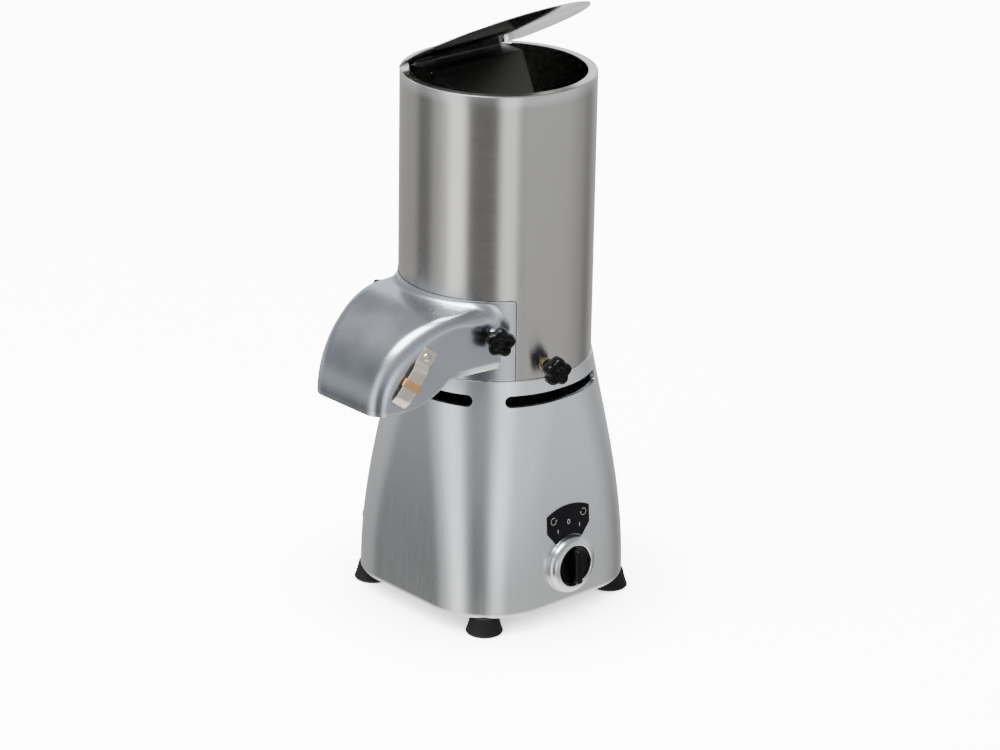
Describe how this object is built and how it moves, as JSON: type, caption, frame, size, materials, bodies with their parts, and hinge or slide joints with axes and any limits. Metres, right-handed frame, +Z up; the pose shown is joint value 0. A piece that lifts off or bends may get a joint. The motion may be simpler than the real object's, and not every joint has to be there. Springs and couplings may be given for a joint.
{
  "type": "bread crumb machine",
  "caption": "Countertop crumb grinder: flared cast base with motor and rotary switch, tall round sheet hopper with hinged lid and safety baffle, and a hooded side spout with spring clips",
  "frame": {"origin": "on the table, on the vertical axis of the motor shaft and hopper, at the underside of the feet", "axes": "+Z up, the switch faces -Y, the spout points to -X"},
  "size_m": [0.3225, 0.2754, 0.6473],
  "materials": {
    "cast_body": "satin cast and brushed",
    "cast_spout": "satin cast",
    "sheet_steel": "brushed sheet",
    "polished_steel": "polished sheet",
    "baffle_steel": "dull sheet",
    "bezel_metal": "satin turned",
    "black_plastic": "moulded",
    "label_black": "printed",
    "black_rubber": "moulded",
    "tan_rubber": "smooth",
    "spring_steel": "rolled strip",
    "screw_steel": "turned",
    "brass": "turned",
    "cast_iron": "painted grey",
    "core_steel": "laminated",
    "copper": "varnished wire",
    "grey_plastic": "moulded"
  },
  "bodies": {
    "base": {"backing_strips": "sheet_steel", "base_housing": "cast_body", "bottom_plate": "sheet_steel", "bottom_screws": "screw_steel", "cable_gland": "black_plastic", "capacitor_clamp": "sheet_steel", "clip_screw_front": "screw_steel", "clip_screw_rear": "screw_steel", "fan_cover": "sheet_steel", "foot_front_left": "black_rubber", "foot_front_right": "black_rubber", "foot_rear_left": "black_rubber", "foot_rear_right": "black_rubber", "foot_screws": "screw_steel", "funnel_collar": "sheet_steel", "grater_ring": "sheet_steel", "hinge_leaf": "polished_steel", "hinge_pin": "screw_steel", "hopper_studs": "screw_steel", "hopper_tube": "sheet_steel", "knob_collar_front": "brass", "knob_collar_rear": "brass", "label_plate": "label_black", "lower_bearing": "screw_steel", "motor_housing": "cast_iron", "motor_lower_shield": "cast_iron", "motor_screws": "screw_steel", "motor_upper_shield": "cast_iron", "run_capacitor": "grey_plastic", "safety_baffle": "baffle_steel", "shaft_seal": "black_rubber", "spout": "cast_spout", "spout_studs": "screw_steel", "stator_core": "core_steel", "stator_windings": "copper", "switch_bezel": "bezel_metal", "switch_block": "grey_plastic", "terminal_block": "grey_plastic", "upper_bearing": "screw_steel"},
    "rotor": {"motor_shaft": "screw_steel", "rotor_core": "core_steel", "cooling_fan": "black_plastic", "sweeper_plate": "sheet_steel", "beater_rotor": "cast_iron", "rotor_nut": "screw_steel"},
    "lid_body": {"lid": "polished_steel", "lid_leaf": "polished_steel"},
    "switch_turn_body": {"switch_handle": "black_plastic"},
    "spout_knob_front_body": {"spout_knob_front": "black_plastic"},
    "spout_knob_rear_body": {"spout_knob_rear": "black_plastic"},
    "hopper_knob_front_body": {"hopper_knob_front": "black_plastic"},
    "hopper_knob_rear_body": {"hopper_knob_rear": "black_plastic"},
    "clip_front_body": {"spout_clip_front": "spring_steel", "clip_band_front": "tan_rubber"},
    "clip_rear_body": {"spout_clip_rear": "spring_steel", "clip_band_rear": "tan_rubber"}
  },
  "joints": [
    {"name": "rotor_spin", "type": "hinge", "parent": "base", "child": "rotor", "pos_m": [0, 0, 0.3], "axis": [0, 0, 1], "continuous": true},
    {"name": "lid_hinge", "type": "hinge", "parent": "base", "child": "lid_body", "pos_m": [0, 0.062, 0.5684], "axis": [-1, 0, 0], "range_deg": [-29.5, 65]},
    {"name": "switch_turn", "type": "hinge", "parent": "base", "child": "switch_turn_body", "pos_m": [0, -0.1184, 0.0615], "axis": [0, -0.9994, 0.0349], "range_deg": [-24, 24]},
    {"name": "spout_knob_front_turn", "type": "hinge", "parent": "base", "child": "spout_knob_front_body", "pos_m": [-0.06997, -0.08488, 0.316], "axis": [-0.6361, -0.7716, 0], "range_deg": [0, 450]},
    {"name": "spout_knob_rear_turn", "type": "hinge", "parent": "base", "child": "spout_knob_rear_body", "pos_m": [-0.06997, 0.08488, 0.316], "axis": [-0.6361, 0.7716, 0], "range_deg": [0, 450]},
    {"name": "hopper_knob_front_turn", "type": "hinge", "parent": "base", "child": "hopper_knob_front_body", "pos_m": [-0.02099, -0.10798, 0.2795], "axis": [-0.1908, -0.9816, 0], "range_deg": [0, 450]},
    {"name": "hopper_knob_rear_turn", "type": "hinge", "parent": "base", "child": "hopper_knob_rear_body", "pos_m": [-0.02099, 0.10798, 0.2795], "axis": [-0.1908, 0.9816, 0], "range_deg": [0, 450]},
    {"name": "clip_front_swivel", "type": "hinge", "parent": "base", "child": "clip_front_body", "pos_m": [-0.148, -0.06264, 0.309], "axis": [-0.2155, -0.9765, 0], "range_deg": [-25, 25]},
    {"name": "clip_rear_swivel", "type": "hinge", "parent": "base", "child": "clip_rear_body", "pos_m": [-0.148, 0.06264, 0.309], "axis": [-0.2155, 0.9765, 0], "range_deg": [-25, 25]}
  ]
}
